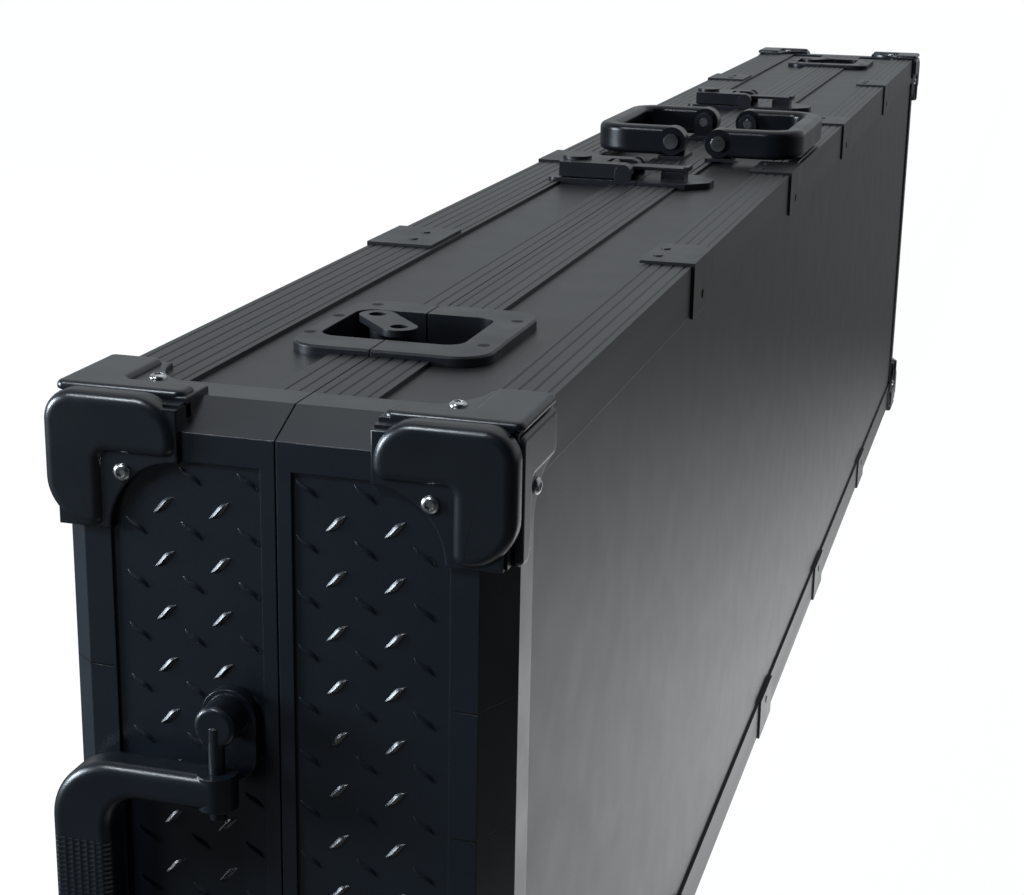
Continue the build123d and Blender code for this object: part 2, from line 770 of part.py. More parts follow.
def hinge_leaves(first, bore):
    """The leaves of one half, drawn at +X, with every second knuckle from the first one given."""
    shapes = []
    clear = hinge_barrel_r + hinge_relief
    for y in hinge_places:
        half = hinge_length / 2
        leaf = block(clear, hinge_leaf_x, y - half, y + half, bottom, bottom + hinge_leaf_t)
        for y0, y1 in knuckle_runs(y)[first::2]:
            leaf += block(0, clear, y0, y1, bottom, bottom + hinge_leaf_t)
            leaf += rod(0, (y0 + y1) / 2, hinge_axis_z, hinge_barrel_r, y1 - y0, "y")
        shapes.append(leaf - rod(0, y, hinge_axis_z, bore, hinge_length + 2, "y"))
    return shapes


def hinge_pins():
    return [rod(0, y, hinge_axis_z, hinge_pin_r, hinge_length, "y") for y in hinge_places]


# Foam


def foam_block(x0):
    reach = board_end - board - foam_clear
    inset = skin + board + skin + foam_clear
    return block(x0, side_inner, -reach, reach, bottom + inset, top - inset)


def slot_heights():
    """The middle heights of the cue slots, spread evenly from above the pocket row to the top."""
    inset = 2 * skin + board + foam_clear
    lowest = bottom + inset + pocket_margin + pocket_width + cue_slot_margin + cue_slot_width / 2
    highest = top - inset - cue_slot_margin - cue_slot_width / 2
    pitch = (highest - lowest) / (cue_slots - 1)
    return [lowest + i * pitch for i in range(cue_slots)]


def base_foam():
    """The insert with full-length cue slots, finger cuts across them and a row of pockets, at +X."""
    x0 = base_foam_seam
    shape = foam_block(x0) - flip_x(latch_pockets())
    half, run = cue_slot_width / 2, cue_slot_length / 2
    heights = slot_heights()
    for z in heights:
        shape -= block(x0 - 1, x0 + cue_slot_depth, -run, run, z - half, z + half)
    low, high = heights[0] - half - finger_over, heights[-1] + half + finger_over
    for y in (-finger_spread, finger_spread):
        shape -= block(x0 - 1, x0 + cue_slot_depth, y - finger_cut / 2, y + finger_cut / 2, low, high)
    z0 = heights[0] - half - cue_slot_margin - pocket_width
    for i in range(pockets):
        y = pocket_pitch * (i - (pockets - 1) / 2)
        y0, y1 = y - pocket_length / 2, y + pocket_length / 2
        shape -= block(x0 - 1, x0 + pocket_depth, y0, y1, z0, z0 + pocket_width)
    return shape


def lid_foam():
    return foam_block(lid_foam_seam) - latch_pockets()


def write_half(half, flip):
    """Every plain piece of one half; the base half is drawn at +X and mirrored."""
    base = half == "base"
    width = base_valance if base else lid_valance
    near_cap = tongued_cap() if base else grooved_cap()
    near_corner = corner(base_chamfer_back if base else lid_chamfer_back)
    pieces = {
        "side_panel": side_panel(),
        "long_boards": long_boards(),
        "end_boards": end_boards(),
        "angles": angles(base_angle_top if base else lid_angle_top),
        "top_valance": tongued_valance() if base else grooved_valance(),
        "hinged_valance": hinged_valance(width),
        "near_cap": near_cap,
        "far_cap": flip_y(near_cap),
        "near_top_corner": near_corner,
        "near_foot_corner": flip_z(near_corner),
        "far_top_corner": flip_y(near_corner),
        "far_foot_corner": flip_y(flip_z(near_corner)),
        "corner_screws": corner_screws(),
        "clips": clips(base_clip_x if base else lid_clip_x),
        "clip_rivets": clip_rivets(base_rivet_x if base else lid_rivet_x),
        "foam": base_foam() if base else lid_foam(),
    }
    for name, shape in pieces.items():
        write_mirrored(f"{half}_{name}", shape, flip)


def write_latches_and_hasps():
    pieces = {
        "latch_base_dish": latch_base_dish(),
        "latch_lid_dish": latch_lid_dish(),
        "latch_wing": latch_wing(),
        "latch_hook": latch_hook(),
        "hasp_plate": hasp_plate(),
        "hasp_lever": hasp_lever(),
        "hasp_link": hasp_link(),
        "hasp_keeper": hasp_keeper(),
    }
    for name, shape in pieces.items():
        write(f"near_{name}", shape)
        write_mirrored(f"far_{name}", shape, flip_y)


def write_handles():
    for half, x, side in (("base", base_handle_x, -1), ("lid", lid_handle_x, 1)):
        write(f"{half}_handle", at_handle(folded_handle(), x, side))
        write(f"{half}_handle_brackets", at_handle(handle_brackets(), x, side))
        write(f"{half}_handle_pins", at_handle(handle_pins(), x, side))
    write("end_handle", end_handle())
    write("end_handle_brackets", end_brackets())


def write_hinges():
    write_mirrored("hinge_base_leaves", hinge_leaves(0, hinge_pin_r), flip_x)
    write("hinge_lid_leaves", hinge_leaves(1, hinge_pin_r + pin_clear))
    write("hinge_pins", hinge_pins())


if __name__ == "__main__":
    write_half("base", flip_x)
    write_half("lid", lambda solid: solid)
    write_latches_and_hasps()
    write_handles()
    write_hinges()
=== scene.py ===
import json
import math

import bmesh
import bpy
import numpy as np
from mathutils import Matrix, Vector


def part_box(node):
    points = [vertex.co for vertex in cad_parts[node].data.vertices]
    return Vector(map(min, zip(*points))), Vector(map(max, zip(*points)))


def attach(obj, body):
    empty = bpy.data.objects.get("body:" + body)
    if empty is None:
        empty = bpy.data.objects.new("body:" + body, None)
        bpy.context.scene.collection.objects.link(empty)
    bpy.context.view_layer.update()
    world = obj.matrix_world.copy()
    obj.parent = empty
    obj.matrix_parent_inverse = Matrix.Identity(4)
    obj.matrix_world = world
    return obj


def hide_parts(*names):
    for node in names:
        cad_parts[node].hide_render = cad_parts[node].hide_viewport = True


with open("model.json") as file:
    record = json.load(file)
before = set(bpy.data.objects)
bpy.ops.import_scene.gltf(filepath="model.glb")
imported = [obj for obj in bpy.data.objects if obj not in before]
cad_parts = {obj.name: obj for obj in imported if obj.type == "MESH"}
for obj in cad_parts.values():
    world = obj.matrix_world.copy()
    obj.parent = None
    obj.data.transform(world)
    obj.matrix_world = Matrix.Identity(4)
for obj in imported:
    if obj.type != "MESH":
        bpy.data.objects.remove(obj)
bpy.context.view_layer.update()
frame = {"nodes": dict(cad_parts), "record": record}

mm = 0.001
nodes = frame["nodes"]

# The closed case without its corners, in millimetres: the corners at its hinged edge stand on the floor
case = {"half": 82.5, "bottom": 4.3, "top": 395.3, "nearEnd": -807.15, "farEnd": 824.85}
case["middle"] = (case["bottom"] + case["top"]) / 2


def say(stage):
    print("cue case:", stage)


# Meshes from whole arrays


# Quads between neighbouring rows and columns of a grid of points, closing round its columns where asked
def gridFaces(rows, columns, closeColumns=False, start=0):
    j = np.arange(columns if closeColumns else columns - 1)
    i, j = np.meshgrid(np.arange(rows - 1), j, indexing="ij")
    i, j = i.ravel(), j.ravel()
    beside = (j + 1) % columns
    quads = np.stack([i * columns + j, (i + 1) * columns + j, (i + 1) * columns + beside, i * columns + beside], 1)
    return quads + start


# The first ring, turned to face the other way, and the last, which close a solid made of rings
def ringCaps(rings, sides):
    return [list(range(sides))[::-1], list(range((rings - 1) * sides, rings * sides))]


# Several copies of one shape as one set of points and faces
def joinCopies(places, faces):
    count = len(places[0])
    parts = [[[i + start for i in face] for face in part]
             for start in range(0, count * len(places), count) for part in faces]
    return np.concatenate(places), parts


weld = 0.01     # points nearer than this in millimetres become one


# One object from points in millimetres and lists of faces, riding on a body, with sharp edges past an angle
def makePiece(name, points, faces, material, body, sharp):
    mesh = bpy.data.meshes.new(name)
    polygons = [list(map(int, face)) for part in faces for face in part]
    mesh.from_pydata((np.asarray(points, float) * mm).tolist(), [], polygons)
    work = bmesh.new()
    work.from_mesh(mesh)
    bmesh.ops.remove_doubles(work, verts=work.verts, dist=weld * mm)
    bmesh.ops.dissolve_degenerate(work, edges=work.edges, dist=weld * mm / 10)
    bmesh.ops.recalc_face_normals(work, faces=work.faces)
    work.to_mesh(mesh)
    work.free()
    mesh.polygons.foreach_set("use_smooth", np.ones(len(mesh.polygons), bool))
    mesh.set_sharp_from_angle(angle=math.radians(sharp))
    mesh.materials.append(material)
    piece = bpy.data.objects.new(name, mesh)
    bpy.context.scene.collection.objects.link(piece)
    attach(piece, body)
    return piece


# Smooth step from 0 to 1 between two values
def ease(value, low, high):
    t = np.clip((value - low) / (high - low), 0, 1)
    return t * t * (3 - 2 * t)


# Materials


# A node material with its main shader and the object's own coordinates in metres
def startMaterial(name):
    material = bpy.data.materials.new(name)
    material.use_nodes = True
    tree = material.node_tree
    shader = next(n for n in tree.nodes if n.type == "BSDF_PRINCIPLED")
    place = tree.nodes.new("ShaderNodeTexCoord").outputs["Object"]
    return material, tree, shader, place


def link(tree, source, target):
    tree.links.new(source, target)


# Noise over the piece, with its own stretch along each axis
def noise(tree, place, scale, detail=3, stretch=(1, 1, 1), rough=0.55):
    mapping = tree.nodes.new("ShaderNodeMapping")
    mapping.inputs["Scale"].default_value = stretch
    link(tree, place, mapping.inputs["Vector"])
    texture = tree.nodes.new("ShaderNodeTexNoise")
    texture.inputs["Scale"].default_value = scale
    texture.inputs["Detail"].default_value = detail
    texture.inputs["Roughness"].default_value = rough
    link(tree, mapping.outputs["Vector"], texture.inputs["Vector"])
    return texture.outputs["Fac"]


# A value carried from one range to another
def spread(tree, value, low, high, fromLow=0.3, fromHigh=0.7):
    node = tree.nodes.new("ShaderNodeMapRange")
    node.inputs["From Min"].default_value = fromLow
    node.inputs["From Max"].default_value = fromHigh
    node.inputs["To Min"].default_value = low
    node.inputs["To Max"].default_value = high
    link(tree, value, node.inputs["Value"])
    return node.outputs["Result"]


def mixColour(tree, amount, first, second):
    node = tree.nodes.new("ShaderNodeMix")
    node.data_type = "RGBA"
    sockets = {s.identifier: s for s in node.inputs}
    link(tree, amount, sockets["Factor_Float"])
    for name, colour in (("A_Color", first), ("B_Color", second)):
        if isinstance(colour, tuple):
            sockets[name].default_value = (*colour, 1)
        else:
            link(tree, colour, sockets[name])
    return next(s for s in node.outputs if s.identifier == "Result_Color")


# Two values, or a value and a number, put together by a named sum
def combine(tree, kind, first, second):
    node = tree.nodes.new("ShaderNodeMath")
    node.operation = kind
    for i, value in enumerate((first, second)):
        if isinstance(value, (int, float)):
            node.inputs[i].default_value = value
        else:
            link(tree, value, node.inputs[i])
    return node.outputs[0]


# Softly rounded edges, then a relief of the given depth in metres on top of them
def relief(tree, shader, heights, edge):
    normal = None
    if edge:
        rounding = tree.nodes.new("ShaderNodeBevel")
        rounding.samples = 4
        rounding.inputs["Radius"].default_value = edge
        normal = rounding.outputs["Normal"]
    for value, depth in heights:
        bump = tree.nodes.new("ShaderNodeBump")
        bump.inputs["Distance"].default_value = depth
        bump.inputs["Strength"].default_value = 1
        link(tree, value, bump.inputs["Height"])
        if normal is not None:
            link(tree, normal, bump.inputs["Normal"])
        normal = bump.outputs["Normal"]
    if normal is not None:
        link(tree, normal, shader.inputs["Normal"])


# Every finish in one table: colours, roughness range, metal share, grain size and depth, edge rounding
finishes = {
    "panel": dict(dark=(.0088, .0096, .0103), light=(.0100, .0108, .0115), rough=(.385, .415), metal=0, specular=.5,
                  grain=900, depth=.00006, edge=0, stretch=(1, 1, 1)),
    "extrusion": dict(dark=(.0085, .0092, .0098), light=(.0110, .0118, .0125), rough=(.36, .42), metal=0, specular=.5,
                      grain=700, depth=.00002, edge=.0004, stretch=(1, .03, 1)),
    "cap": dict(dark=(.0050, .0075, .0110), light=(.0072, .0105, .0150), rough=(.27, .33), metal=0, specular=.5,
                grain=1400, depth=.00005, edge=.0006, stretch=(1, 1, 1)),
    "corner": dict(dark=(.0050, .0070, .0100), light=(.0070, .0098, .0135), rough=(.27, .33), metal=0, specular=.5,
                   grain=1600, depth=.00003, edge=0, stretch=(1, 1, 1)),
    "clip": dict(dark=(.0085, .0092, .0100), light=(.0120, .0128, .0136), rough=(.34, .42), metal=0, specular=.5,
                 grain=600, depth=.00003, edge=.0003, stretch=(1, 1, 1)),
    "hardware": dict(dark=(.0060, .0072, .0090), light=(.0095, .0110, .0135), rough=(.28, .38), metal=0, specular=.36,
                     grain=500, depth=.00004, edge=.0005, stretch=(1, 1, 1)),
    "handle": dict(dark=(.0030, .0038, .0055), light=(.0048, .0060, .0085), rough=(.26, .34), metal=0, specular=.3,
                   grain=1200, depth=.00005, edge=.0005, stretch=(1, 1, 1)),
    "end_handle": dict(dark=(.0040, .0058, .0085), light=(.0060, .0086, .0125), rough=(.27, .34), metal=0,
                       specular=.45, grain=1300, depth=.00004, edge=.0006, stretch=(1, 1, 1)),
    "hinge": dict(dark=(.012, .013, .014), light=(.022, .023, .024), rough=(.30, .45), metal=0, specular=.6,
                  grain=500, depth=.00003, edge=.0003, stretch=(1, 1, 1)),
    # fixing: near-black and dull, partly painted shade of the countersunk holes round the latch fixings
    "fixing": dict(dark=(.0020, .0024, .0030), light=(.0035, .0040, .0048), rough=(.40, .50), metal=0, specular=.2,
                   grain=800, depth=.00002, edge=0, stretch=(1, 1, 1)),
    "screw": dict(dark=(.42, .43, .45), light=(.62, .63, .64), rough=(.16, .30), metal=1, specular=.5,
                  grain=900, depth=.00002, edge=.0003, stretch=(1, 1, 1)),
    "bright_pin": dict(dark=(.45, .46, .48), light=(.66, .67, .68), rough=(.14, .28), metal=1, specular=.5,
                       grain=900, depth=.00002, edge=.0003, stretch=(1, 1, 1)),
    "foam": dict(dark=(.0300, .0310, .0325), light=(.0560, .0575, .0600), rough=(.92, 1.0), metal=0, specular=.1,
                 grain=620, depth=.0006, edge=0, stretch=(1, 1, 1)),
}


# Moulded detail in millimetres, with depths in metres: seams across the caps' outer strips, darkened with painted
# shade in their grooves, and dimples in the end handle's grip
mouldLook = {
    "seams": (47.4, 96.1), "seamHalf": 0.35, "seamFrom": 64.5, "seamDepth": .0004,
    "paintedSeamShade": (.0015, .0018, .0022), "pitchX": 2.9, "pitchZ": 1.9, "gripHalf": 36.5, "dimpleDepth": .0003,
}


# One on a cap's seam lines, which lie above and below its middle height, and zero elsewhere
def seamMask(tree, place):
    look = mouldLook
    split = tree.nodes.new("ShaderNodeSeparateXYZ")
    link(tree, place, split.inputs["Vector"])
    away = combine(tree, "ABSOLUTE", combine(tree, "SUBTRACT", split.outputs["Z"], case["middle"] * mm), 0)
    total = 0
    for height in look["seams"]:
        near = combine(tree, "ABSOLUTE", combine(tree, "SUBTRACT", away, height * mm), 0)
        total = combine(tree, "ADD", combine(tree, "LESS_THAN", near, look["seamHalf"] * mm), total)
    side = combine(tree, "ABSOLUTE", split.outputs["X"], 0)
    return combine(tree, "MULTIPLY", total, combine(tree, "GREATER_THAN", side, look["seamFrom"] * mm))


# Rows of dimples over the grip's middle length: depth = |sin(pi x / pitchX) sin(pi z / pitchZ)|
def dimpleHeight(tree, place):
    look = mouldLook
    split = tree.nodes.new("ShaderNodeSeparateXYZ")
    link(tree, place, split.inputs["Vector"])
    waves = []
    for axis, pitch in (("X", look["pitchX"]), ("Z", look["pitchZ"])):
        scaled = combine(tree, "MULTIPLY", split.outputs[axis], math.pi / (pitch * mm))
        waves.append(combine(tree, "SINE", scaled, 0))
    pattern = combine(tree, "ABSOLUTE", combine(tree, "MULTIPLY", *waves), 0)
    away = combine(tree, "ABSOLUTE", combine(tree, "SUBTRACT", split.outputs["Z"], case["middle"] * mm), 0)
    inside = combine(tree, "LESS_THAN", away, look["gripHalf"] * mm)
    return combine(tree, "MULTIPLY", combine(tree, "MULTIPLY", pattern, inside), -1)


# How many times a metre the colour drifts and the roughness changes, and each noise's detail
patternLook = {"drift": 9, "driftDetail": 4, "patches": 38, "patchDetail": 4, "grainDetail": 2}


# Colour drifts slowly over the piece, roughness in patches, and a fine grain is raised on it
def makeFinish(name, look):
    material, tree, shader, place = startMaterial(name)
    slow = noise(tree, place, patternLook["drift"], patternLook["driftDetail"])
    fine = noise(tree, place, look["grain"], patternLook["grainDetail"], look["stretch"])
    patches = noise(tree, place, patternLook["patches"], patternLook["patchDetail"], look["stretch"])
    colour = mixColour(tree, spread(tree, slow, 0, 1), look["dark"], look["light"])
    heights = [(fine, look["depth"])]
    if name == "cap":
        seam = seamMask(tree, place)
        # Painted shade: the seam grooves are coloured darker than the cap
        colour = mixColour(tree, seam, colour, mouldLook["paintedSeamShade"])
        heights.append((combine(tree, "MULTIPLY", seam, -1), mouldLook["seamDepth"]))
    elif name == "end_handle":
        heights.append((dimpleHeight(tree, place), mouldLook["dimpleDepth"]))
    link(tree, colour, shader.inputs["Base Color"])
    link(tree, spread(tree, patches, *look["rough"]), shader.inputs["Roughness"])
    shader.inputs["Metallic"].default_value = look["metal"]
    shader.inputs["Specular IOR Level"].default_value = look["specular"]
    relief(tree, shader, heights, look["edge"])
    return material


materials = {name: makeFinish(name, look) for name, look in finishes.items()}
for part in frame["record"]["materials"]:
    say("finish " + part["slot"])

slotOfNode = {}
for name in nodes:
    if name.endswith("_foam"):
        slotOfNode[name] = "foam"
    elif "corner_screws" in name:
        slotOfNode[name] = "screw"
    elif "corner" in name:
        slotOfNode[name] = "corner"
    elif name.endswith("_cap"):
        slotOfNode[name] = "cap"
    elif "side_panel" in name or "boards" in name:
        slotOfNode[name] = "panel"
    elif "angles" in name or "valance" in name:
        slotOfNode[name] = "extrusion"
    elif "clip" in name:
        slotOfNode[name] = "clip"
    elif name == "end_handle" or name == "end_handle_brackets":
        slotOfNode[name] = "end_handle"
    elif name.endswith("handle_pins"):
        slotOfNode[name] = "bright_pin"
    elif name.endswith("handle_brackets"):
        slotOfNode[name] = "hardware"
    elif "handle" in name:
        slotOfNode[name] = "handle"
    elif "hinge" in name:
        slotOfNode[name] = "hinge"
    else:
        slotOfNode[name] = "hardware"
for name, node in nodes.items():
    node.data.materials.clear()
    node.data.materials.append(materials[slotOfNode[name]])
say("finishes on the frame")


# Moulded corners

cornerShape = {
    "out": 4.3, "reach": (47.0, 51.0, 46.0), "shell": 2.4, "arch": 26.5, "band": 18.0, "front": (-4.6, 3.8),
    "groove": 6.0, "core": 1.6, "coreReach": 16.0, "facet": 12.0, "edge": 2.0, "padEdge": 0.9, "shellEdge": 0.8,
    "frontBack": -9.6, "shellBack": -5.0, "bed": (0.5, -0.8, 0.8), "bedAbove": -9.0, "bedBeside": -10.0,
    "arcStep": 0.12, "archPoints": 25, "rimPoints": 6, "innerRing": 0.5, "sharpest": 0.2,
}


# A closed outline from corners given as (u, v, radius): each is an arc tangent to its two sides, from
# centre = corner + bisector * radius / sin(half angle)
def roundedOutline(corners):
    points = []
    count = len(corners)
    for i in range(count):
        corner = np.array(corners[i][:2], float)
        back = np.array(corners[i - 1][:2], float) - corner
        ahead = np.array(corners[(i + 1) % count][:2], float) - corner
        back, ahead = back / np.hypot(*back), ahead / np.hypot(*ahead)
        radius = corners[i][2]
        half = math.acos(np.clip(back @ ahead, -1, 1)) / 2
        bisector = (back + ahead) / np.hypot(*(back + ahead))
        centre = corner + bisector * radius / math.sin(half)
        first = corner + back * radius / math.tan(half) - centre
        last = corner + ahead * radius / math.tan(half) - centre
        turn = math.atan2(first[0] * last[1] - first[1] * last[0], first @ last)
        steps = max(3, int(abs(turn) / cornerShape["arcStep"]))
        angles = np.linspace(0, turn, steps + 1)
        points += [centre + (first[0] * math.cos(g) - first[1] * math.sin(g),
                             first[0] * math.sin(g) + first[1] * math.cos(g)) for g in angles]
    return np.array(points)


# The whole reach of one face with the quarter circle of the arch cut out of its inner corner
def archOutline(lowU, lowV, reachU, reachV):
    r = cornerShape["arch"]
    angles = np.linspace(0, math.pi / 2, cornerShape["archPoints"])
    arc = np.stack([reachU - r * np.sin(angles), reachV - r * np.cos(angles)], -1)
    return np.concatenate([[(lowU, lowV), (reachU, lowV)], arc, [(lowU, reachV)]])


# A closed slab on an outline between two heights. Each rim is a quarter circle: the outline steps in by
# radius * (1 - cos a) at a depth of radius * (1 - sin a) below the slab's face, with one more ring on the face
def slab(outline, low, high, edgeLow, edgeHigh):
    s = cornerShape
    area = np.sum(outline[:, 0] * np.roll(outline[:, 1], -1) - outline[:, 1] * np.roll(outline[:, 0], -1))
    along = np.roll(outline, -1, 0) - outline
    along /= np.maximum(np.hypot(along[:, 0], along[:, 1])[:, None], 1e-9)
    side = np.stack([along[:, 1], -along[:, 0]], -1) * np.sign(area)
    before = np.roll(side, 1, 0)
    inward = -(side + before) / np.maximum(1 + np.sum(side * before, 1), s["sharpest"])[:, None]
    rings = []
    for level, edge, way in ((low, edgeLow, 1), (high, edgeHigh, -1)):
        angles = np.linspace(math.pi / 2, 0, s["rimPoints"]) if edge else np.array([0.0])
        if way < 0:
            angles = angles[::-1]
        for angle in angles:
            step = edge * (1 - math.cos(angle))
            rings.append((outline + inward * step, level + way * edge * (1 - math.sin(angle))))
        if edge:
            flat = (outline + inward * (edge + s["innerRing"]), level)
            rings.insert(0 if way > 0 else len(rings), flat)
    points = np.concatenate([np.column_stack([ring, np.full(len(ring), h)]) for ring, h in rings])
    count = len(outline)
    return points, [gridFaces(len(rings), count, closeColumns=True), ringCaps(len(rings), count)]


# A small block round the vertex whose outermost point is cut off square to the diagonal
def vertexCore():
    s = cornerShape
    near, far, leg = -s["core"], s["coreReach"], s["facet"] - s["core"]
    solid = [
        (leg, near, near), (near, leg, near), (near, near, leg), (far, near, near), (far, far, near),
        (near, far, near), (far, near, far), (near, near, far), (near, far, far), (far, far, far),
    ]
    faces = [
        [0, 1, 2], [0, 3, 4, 5, 1], [0, 2, 7, 6, 3], [1, 5, 8, 7, 2], [4, 3, 6, 9], [5, 4, 9, 8], [7, 8, 9, 6],
    ]
    return np.array(solid, float), [faces]


# The flat bed of a groove, which runs along one outer edge of the corner
def grooveBed(reach, low):
    first, side, high = cornerShape["bed"]
    last = cornerShape["groove"] + 1
    return slab(np.array([(first, side), (last, side), (last, reach), (first, reach)]), low, high, 0, 0)


# The whole corner, drawn at the lid's near top corner from its three outer planes: on each a thin shell with an
# arch cut out of it and an L-shaped pad; the front pad reaches both outer planes, with a groove behind it
def cornerPoints():
    s = cornerShape
    rx, ry, rz = s["reach"]
    out, band, groove, edge, padEdge = s["out"], s["band"], s["groove"], s["edge"], s["padEdge"]
    back, shell, shellEdge = s["shellBack"], s["shell"], s["shellEdge"]
    # Each pad's outline, with every corner's radius
    frontPad = roundedOutline([
        (-out, -out + 0.6, 11.5), (rx - 0.5, -out + 0.6, 15), (rx - 0.5, band, 5.2), (band, band, 3),
        (band, rz - 0.3, 4.7), (-out, rz - 0.3, 17.4),
    ])
    topPad = roundedOutline([
        (groove, -out + 0.3, 3.2), (groove, rx - 1, 4), (band, rx - 1, 4), (band, band, 3), (ry - 1, band, 4),
        (ry - 1, -out + 0.3, 3),
    ])
    sidePad = roundedOutline([
        (groove, 0.4, 3.2), (groove, rz + 1, 3), (band - 2, rz + 1, 4), (band, rz - 9, 6), (band, band, 3),
        (ry - 1, band, 4), (ry - 1, 0.4, 3),
    ])
    plans = [
        ("front", slab(archOutline(0.2, 0.2, rx, rz), s["frontBack"], shell, 0, shellEdge)),
        ("front", slab(frontPad, s["front"][0], out, padEdge, s["front"][1])),
        ("above", slab(archOutline(groove, -0.6, ry, rx), back, shell, 0, shellEdge)),
        ("above", grooveBed(rx - 0.4, s["bedAbove"])),
        ("above", slab(topPad, 0.9, out, padEdge, edge)),
        ("beside", slab(archOutline(groove, -0.6, ry, rz), back, shell, 0, shellEdge)),
        ("beside", grooveBed(rz - 0.4, s["bedBeside"])),
        ("beside", slab(sidePad, -1, out, 0, edge)),
        ("core", vertexCore()),
    ]
    x0, y0, z0 = case["half"], case["nearEnd"], case["top"]
    points, faces, start = [], [], 0
    for kind, (place, parts) in plans:
        u, v, h = place[:, 0], place[:, 1], place[:, 2]
        if kind == "front":
            p = np.stack([x0 - u, y0 - h, z0 - v], -1)
        elif kind == "above":
            p = np.stack([x0 - v, y0 + u, z0 + h], -1)
        elif kind == "beside":
            p = np.stack([x0 + h, y0 + u, z0 - v], -1)
        else:
            p = np.stack([x0 - u, y0 + v, z0 - h], -1)
        points.append(p)
        faces += [[[i + start for i in face] for face in part] for part in parts]
        start += len(p)
    return np.concatenate(points), faces


middleY = (case["nearEnd"] + case["farEnd"]) / 2


# Points drawn at the lid's near top corner, turned over to another corner where a side is -1
def atCorner(points, sideX, sideY, sideZ):
    place = points.copy()
    place[:, 0] *= sideX
    place[:, 1] = middleY + (place[:, 1] - middleY) * sideY
    place[:, 2] = case["middle"] + (place[:, 2] - case["middle"]) * sideZ
    return place


say("corners")
points, faces = cornerPoints()
for half, sideX in (("base", -1), ("lid", 1)):
    for end, sideY in (("near", 1), ("far", -1)):
        for edge, sideZ in (("top", 1), ("foot", -1)):
            place = atCorner(points, sideX, sideY, sideZ)
            name = f"{half}_{end}_{edge}_corner"
            piece = makePiece(name + "_moulding", place, faces, materials["corner"], half, sharp=50)
            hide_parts(name)


# Screw heads on the corners

# The profile is how far in from the radius and how high each ring of the head lies, up to its flat top
screwLook = {
    "radius": 3.3, "profile": ((0, -0.5), (0, 0.35), (0.25, 0.8), (0.75, 1.2), (1.35, 1.5)), "socket": 1.4,
    "socketDeep": 1.1, "socketTaper": 0.98, "in": 25.7, "drop": 24.4, "backTop": 28.0, "backSide": 30.0, "sides": 24,
}


# Rings of points about an axis, each from its radius, or a radius for every side, and its height
def turnRings(rings, sides):
    angles = np.arange(sides) * 2 * math.pi / sides
    return np.concatenate([np.column_stack([r * np.cos(angles), r * np.sin(angles), np.full(sides, h)])
                           for r, h in rings])


# A button head turned about its axis, with a hexagonal socket: the socket's radius is r / cos(angle from its flat)
def screwHead():
    s = screwLook
    angles = np.arange(s["sides"]) * 2 * math.pi / s["sides"]
    flat = (angles + math.pi / 6) % (math.pi / 3) - math.pi / 6
    hexagon = s["socket"] / np.cos(flat)
    rings = [(s["radius"] - inward, h) for inward, h in s["profile"]]
    high = rings[-1][1]
    rings += [(hexagon, high), (hexagon * s["socketTaper"], high - s["socketDeep"])]
    faces = [gridFaces(len(rings), s["sides"], closeColumns=True), ringCaps(len(rings), s["sides"])]
    return turnRings(rings, s["sides"]), faces


say("screws")
head, headFaces = screwHead()
x, y, z = case["half"] - screwLook["in"], case["nearEnd"], case["top"] - screwLook["drop"]
plane = cornerShape["shell"]
outward, across, upward = head[:, 2], head[:, 0], head[:, 1]
heads = [
    np.stack([x + across, y - plane - outward, z + upward], -1),
    np.stack([x + across, y + screwLook["backTop"] + upward, case["top"] + plane + outward], -1),
    np.stack([case["half"] + plane + outward, y + screwLook["backSide"] + across, z + upward], -1),
]
for half, sideX in (("base", -1), ("lid", 1)):
    places = [atCorner(one, sideX, sideY, sideZ) for sideY in (1, -1) for sideZ in (1, -1) for one in heads]
    points, faces = joinCopies(places, headFaces)
    piece = makePiece(half + "_socket_screws", points, faces, materials["screw"], half, sharp=40)
    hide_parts(half + "_corner_screws")


# Fixings in the flanges of the latches: real screw heads, whose near-black, dull colour is partly painted shade of
# their countersunk holes

fixingLook = {
    "places": ((-33.2, 116), (-33.2, 148), (-25.5, 174), (39, 117), (39.5, 163)), "radius": 2.7, "high": 0.35,
    "rings": (1.0, 0.98, 0.75, 0.45, 0.12), "sunk": 0.4, "level": 397.9, "sides": 20,
}


# A low dome: height = high * (1 - (r / radius)^2) over the flange, with its first ring sunk in it
def domePoints():
    f = fixingLook
    radii = np.array(f["rings"]) * f["radius"]
    heights = np.concatenate([[-f["sunk"]], f["high"] * (1 - (radii[1:] / f["radius"]) ** 2)])
    faces = [gridFaces(len(radii), f["sides"], closeColumns=True), ringCaps(len(radii), f["sides"])]
    return turnRings(list(zip(radii, heights)), f["sides"]), faces


# Points drawn at the near end, turned over to the far end where it is asked for
def atEnd(place, end):
    if end == "far":
        place[:, 1] = case["nearEnd"] + case["farEnd"] - place[:, 1]
    return place


say("latch fixings")
dome, domeFaces = domePoints()
for half in ("base", "lid"):
    spots = [(x, y) for x, y in fixingLook["places"] if (x < 0) == (half == "base")]
    for end in ("near", "far"):
        places = [atEnd(dome + (x, case["nearEnd"] + y, fixingLook["level"]), end) for x, y in spots]
        points, faces = joinCopies(places, domeFaces)
        makePiece(f"{end}_latch_{half}_fixings", points, faces, materials["fixing"], half, sharp=50)


# Diamond tread on the end caps

tread = {
    "length": 10.4, "width": 2.5, "height": 1.05, "tilt": 39.0, "bend": 0.35, "pitchX": 21.5, "pitchZ": 20.15,
    "firstX": 21.7, "firstZ": 360.6, "sunk": 1.2, "under": 0.02, "margin": 5.6, "points": (9, 5), "rows": 19,
    "columns": (-2, 4), "sets": ((1, 0, -0.07), (-1, 0.5, 0.5)),
}
# The recess of the cap: its rims beside the joint, at the outer side, and above and below, and its corners' radius
recess = {"joint": 5.8, "side": 19.2, "ends": 19.0, "radius": 27.8, "slackJoint": 2, "slack": 1}


